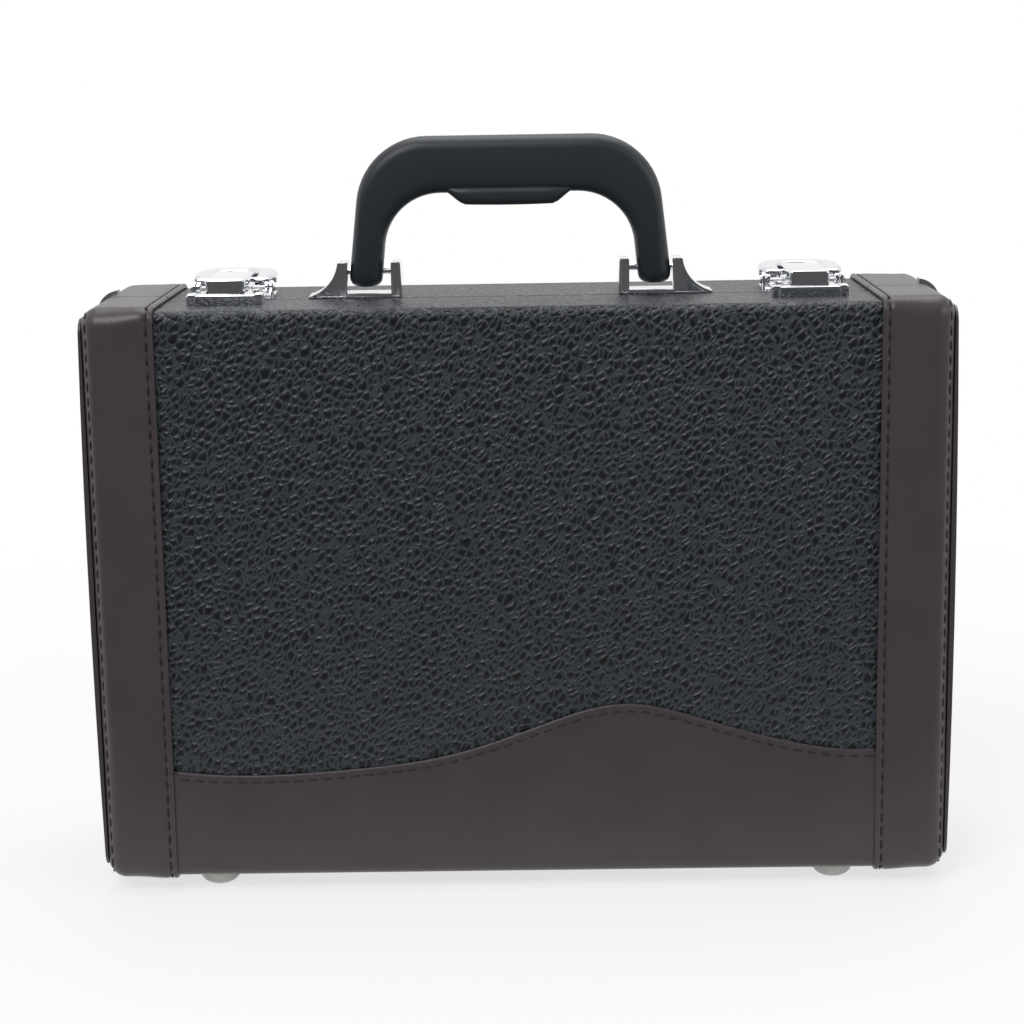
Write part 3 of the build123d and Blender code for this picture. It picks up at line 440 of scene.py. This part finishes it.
for side in (-1, 1):
    bm = bmesh.new()
    for end in (-1, 1):
        outer_inset = END_CORNER - sqrt(END_CORNER ** 2 - (OUTER_SEAM - BAND_END + END_CORNER) ** 2)
        for out, inset in ((INNER_SEAM, INNER_SUNK), (OUTER_SEAM, outer_inset + TUCK)):
            line = [band_point(side, s, out, inset) for s in band_stations(side, STEP)]
            stitches_along(bm, [Vector((end * p.x, p.y, p.z)) for p in line])
    name = f"{HALF_NAME[side]}_band_stitches"
    show(bm, name, thread, "smooth_leather", HALF_BODY[side])

# Wavy lower panels: the same brown leather as the bands, glued over the black cover and turned
# under the case. Its top edge is folded to a soft roll and stitched 2.5 mm below.
ROLL = 0.75
finish_nodes(smooth_leather, "smooth_leather", "front_wave_panel", "back_wave_panel")
for side in (-1, 1):
    panel = nodes[f"{HALF_NAME[side]}_wave_panel"]
    face = max(side * v.co.y for v in panel.data.vertices)
    top_line = {
        round(v.co.x / MM, 2): v.co.z / MM
        for v in panel.data.vertices
        if side * v.co.y > face - 1e-5 and v.co.z > 30 * MM
    }
    line = [Vector((x, side * face / MM, top_line[x])) for x in sorted(top_line)]
    rings = []
    for k, here in enumerate(line):
        ahead = line[min(k + 1, len(line) - 1)] - line[max(k - 1, 0)]
        upward = Vector((-ahead.z, 0, ahead.x)).normalized()
        centre = here - upward * 0.4 - Vector((0, side * 0.35, 0))
        rings.append([
            centre + upward * ROLL * cos(a * pi / 5) + Vector((0, ROLL * sin(a * pi / 5), 0))
            for a in range(10)
        ])
    bm = bmesh.new()
    first, last = sweep(bm, rings, True)
    bmesh.ops.contextual_create(bm, geom=first)
    bmesh.ops.contextual_create(bm, geom=last)
    bmesh.ops.recalc_face_normals(bm, faces=bm.faces)
    name = f"{HALF_NAME[side]}_wave_panel_roll"
    show(bm, name, smooth_leather, "smooth_leather", HALF_BODY[side])
    bm = bmesh.new()
    seam = []
    for here, there in zip(line, line[1:]):
        down = Vector((there.z - here.z, 0, here.x - there.x)).normalized()
        seam.append((here + there) / 2 + down * 2.9 + Vector((0, side * 0.02, 0)))
    stitches_along(bm, seam)
    show(bm, f"{HALF_NAME[side]}_wave_panel_stitches", thread, "smooth_leather", HALF_BODY[side])

# End panels: crowned pieces of the same leather over a board, stitched to the bands all round.
PANEL_EDGE = 1.0
PANEL_CROWN = 1.2
PANEL_MARGIN = 5.0
PANEL_SEAM = 2.6
PANEL_CORNER = 4.0
MID_Z = (BAND_LOW + BAND_HIGH) / 2
for side in (-1, 1):
    bm = bmesh.new()
    near = SEAM_Y + side * (RIM_GAP + PANEL_MARGIN + PANEL_SEAM)
    far = SEAM_Y + side * (HALF_DEPTH[side] - PANEL_MARGIN - PANEL_SEAM)
    low = BAND_LOW + PANEL_MARGIN + PANEL_SEAM
    high = BAND_HIGH - PANEL_MARGIN - PANEL_SEAM
    for end in (-1, 1):
        finish_nodes(
            smooth_leather, "smooth_leather", f"{HALF_NAME[side]}_{END_NAME[end]}_end_panel"
        )
        loop = []
        middle = ((near + far) / 2, MID_Z)
        reach = (abs(far - near) / 2 - PANEL_CORNER, (high - low) / 2 - PANEL_CORNER)
        for quarter, (dy, dz) in enumerate(((1, 1), (-1, 1), (-1, -1), (1, -1))):
            for a in range(0, 91, 15):
                turn = radians(90 * quarter + a)
                loop.append((middle[0] + dy * reach[0] + PANEL_CORNER * cos(turn),
                             middle[1] + dz * reach[1] + PANEL_CORNER * sin(turn)))
        loop.append(loop[0])
        fine = []
        for (y0, z0), (y1, z1) in zip(loop, loop[1:]):
            steps = max(1, round(abs(z1 - z0) / 6))
            fine += [(y0 + (y1 - y0) * i / steps, z0 + (z1 - z0) * i / steps) for i in range(steps)]
        fine.append(loop[0])
        seam = []
        for y, z in fine:
            share = (z - MID_Z) / (MID_Z - BAND_LOW - PANEL_MARGIN)
            crown = PANEL_CROWN * (1 - share ** 2)
            seam.append(Vector((end * (BAND_END + PANEL_EDGE + crown + 0.05), y, z)))
        stitches_along(bm, seam)
    show(bm, f"{HALF_NAME[side]}_end_panel_stitches", thread, "smooth_leather", HALF_BODY[side])

# Feet: soft clear PVC domes, moulded milky, each held to the ply by one nickelled screw.
clear_pvc, _ = new_material(
    "PVC, moulded clear and milky",
    {"Base Color": linear("#eef0ea"), "Roughness": 0.30, "IOR": 1.53, "Transmission Weight": 0.55},
)
finish_nodes(clear_pvc, "clear_plastic", "front_feet", "back_feet")

# Screws, hinges and small pins: pressed steel with a plain nickel plate, neither polished nor
# brushed, so that highlights on it are broad.
nickel, _ = new_material(
    "steel, pressed and nickel plated",
    {"Base Color": linear("#bdbab3"), "Metallic": 1.0, "Roughness": 0.27},
)
finish_nodes(
    nickel, "nickelled_steel", "front_foot_screws", "back_foot_screws", "front_hinge_leaves",
    "back_hinge_leaves", "front_hinge_rivets", "back_hinge_rivets", "hinge_pins",
    "locker_hinge_pin",
)

# Handle brackets, latches and strap rings: cast and pressed metal, tumbled, then chrome plated
# over copper. The castings' edges are rounded by the tumbling, and flats mirror the studio.
EDGE_WEAR = 0.35
LEVER_WEAR = 0.5
chrome, _ = new_material(
    "zinc alloy, die cast and chrome plated",
    {"Base Color": linear("#dfe1e4"), "Metallic": 1.0, "Roughness": 0.07},
)


def plated(name, body, edge):
    """A metal node with its sharp edges rounded as tumbling leaves them."""
    bm = bmesh.new()
    bm.from_mesh(nodes[name].data)
    bmesh.ops.remove_doubles(bm, verts=bm.verts, dist=1e-6)
    bmesh.ops.dissolve_limit(bm, angle_limit=radians(0.5), verts=bm.verts, edges=bm.edges)
    bmesh.ops.scale(bm, vec=(1 / MM, 1 / MM, 1 / MM), verts=bm.verts)
    piece = show(bm, f"{name}_plated", chrome, "chrome_plate", body, name)
    worn = piece.modifiers.new("tumbled edges", "BEVEL")
    worn.width = edge * MM
    worn.segments = 3
    worn.limit_method = "ANGLE"
    worn.angle_limit = radians(32)
    worn.use_clamp_overlap = True
    worn.harden_normals = True
    return piece


for name in ("left_handle_bracket", "right_handle_bracket", "left_latch_base",
             "right_latch_base", "left_strap_plate", "right_strap_plate"):
    plated(name, "back_half", EDGE_WEAR)
for end in ("left", "right"):
    plated(f"{end}_strike", "front_half", EDGE_WEAR)
    plated(f"{end}_hook", f"{end}_hook", EDGE_WEAR)
    plated(f"{end}_lever", f"{end}_lever", LEVER_WEAR)
finish_nodes(
    chrome, "chrome_plate", "bracket_rivets", "handle_pins", "strike_rivets",
    "latch_base_rivets", "left_lever_pins", "right_lever_pins", "left_hook_pin",
    "right_hook_pin", "strap_rivets", "left_strap_ring", "right_strap_ring",
)

# Carrying handle: one moulding of black ABS over a steel core, lightly textured. A fuller
# belly for the fingers is moulded under the grip, and both legs turn on pins in the brackets.
HANDLE_X = -3.0
HANDLE_Y = 1.1
HANDLE_PIN_Z = 258.8
HANDLE_TOP = 315.1
GRIP_UNDER = 291.4
LEG_OUTER = 67.9
LEG_INNER = 54.1
LEG_FOOT = 252.6
LEG_LEAN = 0.1196
HANDLE_HALF_DEPTH = 7.5
HANDLE_ROUND = 5.2
GRIP_ROUND = 5.6
OUTER_BEND = 30.0
INNER_BEND = 24.0
BEND_STEPS = 14
BELLY_HALF = 29.0
BELLY_DEEP = 5.2
BELLY_FLAT = 0.62
BELLY_SAG = 0.8
BELLY_SUNK = 1.5
BELLY_THIN = 0.70
BELLY_SWELL = 0.34
BELLY_ROUND = 3.2
abs_black, abs_shader = new_material(
    "ABS, moulded black, spark textured",
    {"Base Color": linear("#20252b"), "Roughness": 0.42, "IOR": 1.53, "Specular IOR Level": 0.40},
)
texture_grain = add_node(
    abs_black, "ShaderNodeTexNoise", {"Vector": mm_place(abs_black), "Scale": 1 / 0.6, "Detail": 2.0}
)
set_bump(abs_black, abs_shader, texture_grain.outputs[0], 0.05)


def rounded_turn(start, corner, after, radius, steps):
    """Points of the arc that rounds a corner between two straight lines."""
    a = (start - corner).normalized()
    b = (after - corner).normalized()
    half = a.angle(b) / 2
    centre = corner + (a + b).normalized() * radius / sin(half)
    begin = corner + a * radius / (sin(half) / cos(half)) - centre
    finish = corner + b * radius / (sin(half) / cos(half)) - centre
    sweep_angle = begin.angle(finish)
    return [
        centre + (begin * sin((1 - i / steps) * sweep_angle) + finish * sin(i / steps * sweep_angle))
        / sin(sweep_angle)
        for i in range(steps + 1)
    ]


def leg_point(out, z):
    return Vector((out - LEG_LEAN * (max(z, HANDLE_PIN_Z) - HANDLE_PIN_Z), z))


def section(outer, inner, half_depth, radius):
    """Rounded section of the handle between a point of its outside and one of its inside."""
    across = (outer - inner).normalized()
    centre = (outer + inner) / 2
    half = (outer - inner).length / 2
    radius = min(radius, half * 0.98, half_depth * 0.98)
    ring = []
    for quarter, (u, v) in enumerate(((1, 1), (-1, 1), (-1, -1), (1, -1))):
        for step in range(7):
            turn = radians(90 * quarter + 15 * step)
            a = u * (half - radius) + radius * cos(turn)
            b = v * (half_depth - radius) + radius * sin(turn)
            spot = centre + across * a
            ring.append(Vector((HANDLE_X + spot.x, HANDLE_Y + b, spot.y)))
    return ring


outer_corner = leg_point(LEG_OUTER, HANDLE_TOP)
inner_corner = leg_point(LEG_INNER, GRIP_UNDER)
outer_turn = rounded_turn(leg_point(LEG_OUTER, LEG_FOOT + 20), outer_corner,
                          Vector((0, HANDLE_TOP)), OUTER_BEND, BEND_STEPS)
inner_turn = rounded_turn(leg_point(LEG_INNER, LEG_FOOT + 20), inner_corner,
                          Vector((0, GRIP_UNDER)), INNER_BEND, BEND_STEPS)
half_sections = []
leg_foot = ((0.0, 3.6), (0.5, 1.9), (1.4, 0.8), (2.8, 0.2), (4.5, 0.0))
for rise, narrow in leg_foot:
    outer = leg_point(LEG_OUTER, LEG_FOOT + rise) - Vector((narrow, 0))
    inner = leg_point(LEG_INNER, LEG_FOOT + rise) + Vector((narrow, 0))
    half_sections.append(section(outer, inner, HANDLE_HALF_DEPTH - narrow * 0.8, HANDLE_ROUND))
outer_leg = leg_point(LEG_OUTER, LEG_FOOT + leg_foot[-1][0])
inner_leg = leg_point(LEG_INNER, LEG_FOOT + leg_foot[-1][0])
for i in range(1, 9):
    half_sections.append(section(outer_leg.lerp(outer_turn[0], i / 9),
                                 inner_leg.lerp(inner_turn[0], i / 9),
                                 HANDLE_HALF_DEPTH, HANDLE_ROUND))
for outer, inner in zip(outer_turn, inner_turn):
    half_sections.append(section(outer, inner, HANDLE_HALF_DEPTH, GRIP_ROUND))
for i in range(1, 9):
    half_sections.append(section(outer_turn[-1].lerp(Vector((0, HANDLE_TOP)), i / 8),
                                 inner_turn[-1].lerp(Vector((0, GRIP_UNDER)), i / 8),
                                 HANDLE_HALF_DEPTH, GRIP_ROUND))
other_half = [
    [Vector((2 * HANDLE_X - p.x, p.y, p.z)) for p in ring] for ring in reversed(half_sections[:-1])
]
bm = bmesh.new()
first, last = sweep(bm, half_sections + other_half, True)
bmesh.ops.contextual_create(bm, geom=first)
bmesh.ops.contextual_create(bm, geom=last)
bmesh.ops.recalc_face_normals(bm, faces=bm.faces)
show(bm, "handle_moulding", abs_black, "handle_plastic", "handle", "handle")

belly_rings = []
for i in range(33):
    share = -cos(pi * i / 32)
    full = 1 - ease((abs(share) - BELLY_FLAT) / (1 - BELLY_FLAT))
    drop = (BELLY_DEEP - BELLY_SAG * share ** 2 + BELLY_SUNK) * full
    upper = Vector((share * BELLY_HALF, GRIP_UNDER + 2 * BELLY_SUNK))
    lower = Vector((share * BELLY_HALF, GRIP_UNDER + BELLY_SUNK - drop))
    deep = HANDLE_HALF_DEPTH * (BELLY_THIN + BELLY_SWELL * full)
    belly_rings.append(section(lower, upper, deep, BELLY_ROUND))
bm = bmesh.new()
first, last = sweep(bm, belly_rings, True)
bmesh.ops.contextual_create(bm, geom=first)
bmesh.ops.contextual_create(bm, geom=last)
bmesh.ops.recalc_face_normals(bm, faces=bm.faces)
show(bm, "handle_belly", abs_black, "handle_plastic", "handle")

# Inside: trays, accessory box and lining of pressed board covered with short rayon plush in
# wine red, whose pile turns lighter where it leans towards the light.
plush, plush_shader = new_material(
    "rayon plush, short pile, wine red",
    {"Roughness": 0.95, "Specular IOR Level": 0.15, "Sheen Weight": 0.55, "Sheen Roughness": 0.45,
     "Sheen Tint": linear("#c25a66")},
)
plush_place = mm_place(plush)
pile = add_node(plush, "ShaderNodeTexNoise", {"Vector": plush_place, "Scale": 1 / 0.7, "Detail": 3.0})
leaning = add_node(
    plush, "ShaderNodeTexNoise", {"Vector": plush_place, "Scale": 1 / 24, "Detail": 4.0}
)
set_bump(plush, plush_shader, pile.outputs[0], 0.45)
plush.node_tree.links.new(
    blend_colours(plush, leaning.outputs[0], "#4a0c17", "#7a1a2a"),
    plush_shader.inputs["Base Color"],
)
finish_nodes(plush, "plush", "lid_lining", "joint_tray", "bell_tray", "accessory_box", "locker_lid")

# Tongue strip round the mouth of the back half: black PVC, extruded, dull.
strip, _ = new_material(
    "PVC strip, extruded black", {"Base Color": linear("#141414"), "Roughness": 0.5}
)
finish_nodes(strip, "black_strip", "tongue_strip")

# Knob of the locker lid: turned brass under clear lacquer.
brass, _ = new_material(
    "brass, turned and lacquered",
    {"Base Color": linear("#c9a050"), "Metallic": 1.0, "Roughness": 0.22},
)
finish_nodes(brass, "brass_knob", "locker_knob")

# Studio: a plain white floor that keeps the shadow and fades into a white surround, a large soft
# lamp above and in front on the left, a weaker one on the right and one high above the back. The
# room behind the camera is dim, so that the metal's front faces mirror something dark.
FLOOR_HALF = 40.0
SURROUND_LIGHT = 0.38
FRONT_MIRROR = 0.10
CASE_MIDDLE = (0, 0, 0.15)
floor_mesh = bmesh.new()
bmesh.ops.create_grid(floor_mesh, x_segments=1, y_segments=1, size=FLOOR_HALF)
mesh = bpy.data.meshes.new("floor")
floor_mesh.to_mesh(mesh)
floor_mesh.free()
floor = bpy.data.objects.new("floor", mesh)
bpy.context.scene.collection.objects.link(floor)
floor_paper = bpy.data.materials.new("white paper, matt")
floor_paper.use_nodes = True
floor_paper.node_tree.nodes.clear()
rays = add_node(floor_paper, "ShaderNodeLightPath")
floor_place = add_node(floor_paper, "ShaderNodeTexCoord")
away = add_node(
    floor_paper, "ShaderNodeVectorMath", {0: floor_place.outputs["Object"]}, operation="LENGTH"
)
fading = add_node(
    floor_paper,
    "ShaderNodeMapRange",
    {0: away.outputs["Value"], 1: 0.18, 2: 0.75, 3: 0.70, 4: 1.0},
    interpolation_type="SMOOTHSTEP",
)
watched = add_node(
    floor_paper, "ShaderNodeMath", {0: rays.outputs["Is Camera Ray"], 1: fading.outputs[0]},
    operation="MULTIPLY",
)
seen_share = add_node(
    floor_paper, "ShaderNodeMath", {0: watched.outputs[0], 1: rays.outputs["Is Glossy Ray"]},
    operation="MAXIMUM",
)
floor_parts = add_node(
    floor_paper, "ShaderNodeSeparateXYZ", {0: floor_place.outputs["Object"]}
)
mirror_loss = add_node(
    floor_paper,
    "ShaderNodeMapRange",
    {0: floor_parts.outputs[1], 1: -0.22, 2: -0.06, 3: FRONT_MIRROR - 1, 4: 0.0},
    interpolation_type="SMOOTHSTEP",
)
glow_level = add_node(
    floor_paper,
    "ShaderNodeMath",
    {0: rays.outputs["Is Glossy Ray"], 1: mirror_loss.outputs[0], 2: 1.0},
    operation="MULTIPLY_ADD",
)
paper = add_node(floor_paper, "ShaderNodeBsdfDiffuse", {"Color": linear("#f4f4f4")})
glow = add_node(
    floor_paper,
    "ShaderNodeEmission",
    {"Color": (1, 1, 1, 1), "Strength": glow_level.outputs[0]},
)
mixed = add_node(
    floor_paper, "ShaderNodeMixShader",
    {0: seen_share.outputs[0], 1: paper.outputs[0], 2: glow.outputs[0]},
)
add_node(floor_paper, "ShaderNodeOutputMaterial", {"Surface": mixed.outputs[0]})
mesh.materials.append(floor_paper)

world = bpy.data.worlds.new("white surround")
bpy.context.scene.world = world
world.use_nodes = True
world.node_tree.nodes.clear()
rays = add_node(world, "ShaderNodeLightPath")
clear_seen = add_node(
    world,
    "ShaderNodeMath",
    {0: rays.outputs["Is Camera Ray"], 1: rays.outputs["Is Transmission Ray"]},
    operation="MAXIMUM",
)
all_seen = add_node(
    world, "ShaderNodeMath", {0: clear_seen.outputs[0], 1: rays.outputs["Is Glossy Ray"]},
    operation="MAXIMUM",
)
towards = add_node(world, "ShaderNodeTexCoord")
parts = add_node(world, "ShaderNodeSeparateXYZ", {0: towards.outputs["Generated"]})
dim_front = add_node(
    world,
    "ShaderNodeMapRange",
    {0: parts.outputs[1], 1: -0.70, 2: -0.10, 3: FRONT_MIRROR, 4: 1.0},
    interpolation_type="SMOOTHSTEP",
)
glossy_level = add_node(
    world, "ShaderNodeMath", {0: rays.outputs["Is Glossy Ray"], 1: dim_front.outputs[0]},
    operation="MULTIPLY",
)
seen_level = add_node(
    world, "ShaderNodeMath", {0: clear_seen.outputs[0], 1: glossy_level.outputs[0]},
    operation="MAXIMUM",
)
unseen = add_node(
    world, "ShaderNodeMath", {0: 1.0, 1: all_seen.outputs[0]}, operation="SUBTRACT"
)
level = add_node(
    world, "ShaderNodeMath", {0: unseen.outputs[0], 1: SURROUND_LIGHT, 2: seen_level.outputs[0]},
    operation="MULTIPLY_ADD",
)
surround = add_node(
    world, "ShaderNodeBackground", {"Color": (1, 1, 1, 1), "Strength": level.outputs[0]}
)
add_node(world, "ShaderNodeOutputWorld", {"Surface": surround.outputs[0]})


def add_lamp(name, place, aim, width, power):
    """Square soft lamp, turned to a point."""
    light = bpy.data.lights.new(name, "AREA")
    light.size = width
    light.energy = power
    lamp = bpy.data.objects.new(name, light)
    lamp.location = place
    lamp.rotation_euler = (Vector(aim) - Vector(place)).to_track_quat("-Z", "Y").to_euler()
    bpy.context.scene.collection.objects.link(lamp)


add_lamp("key lamp", (-0.8, -1.5, 1.7), CASE_MIDDLE, 1.1, 24)
add_lamp("fill lamp", (1.5, -1.2, 0.9), CASE_MIDDLE, 1.0, 8)
add_lamp("top lamp", (0.1, 0.5, 1.9), CASE_MIDDLE, 1.4, 16)

# Camera: a long lens a metre in front, a little above the case and looking slightly down.
LENS = 80.41
CAMERA_PLACE = (0.0072, -0.9706, 0.3510)
PITCH = radians(11.485)
YAW = -0.0114
ROLL_TURN = -0.0163
camera_data = bpy.data.cameras.new("camera")
camera_data.lens = LENS
camera_data.sensor_width = 36.0
camera = bpy.data.objects.new("camera", camera_data)
bpy.context.scene.collection.objects.link(camera)
forward = Vector((sin(YAW) * cos(PITCH), cos(YAW) * cos(PITCH), -sin(PITCH)))
level_right = Vector((cos(YAW), -sin(YAW), 0))
level_up = level_right.cross(forward)
right = level_right * cos(ROLL_TURN) + level_up * sin(ROLL_TURN)
up = level_up * cos(ROLL_TURN) - level_right * sin(ROLL_TURN)
turned = Matrix((right, up, -forward)).transposed().to_4x4()
camera.matrix_world = Matrix.Translation(CAMERA_PLACE) @ turned
bpy.context.scene.camera = camera
bpy.context.scene.view_settings.view_transform = "Standard"
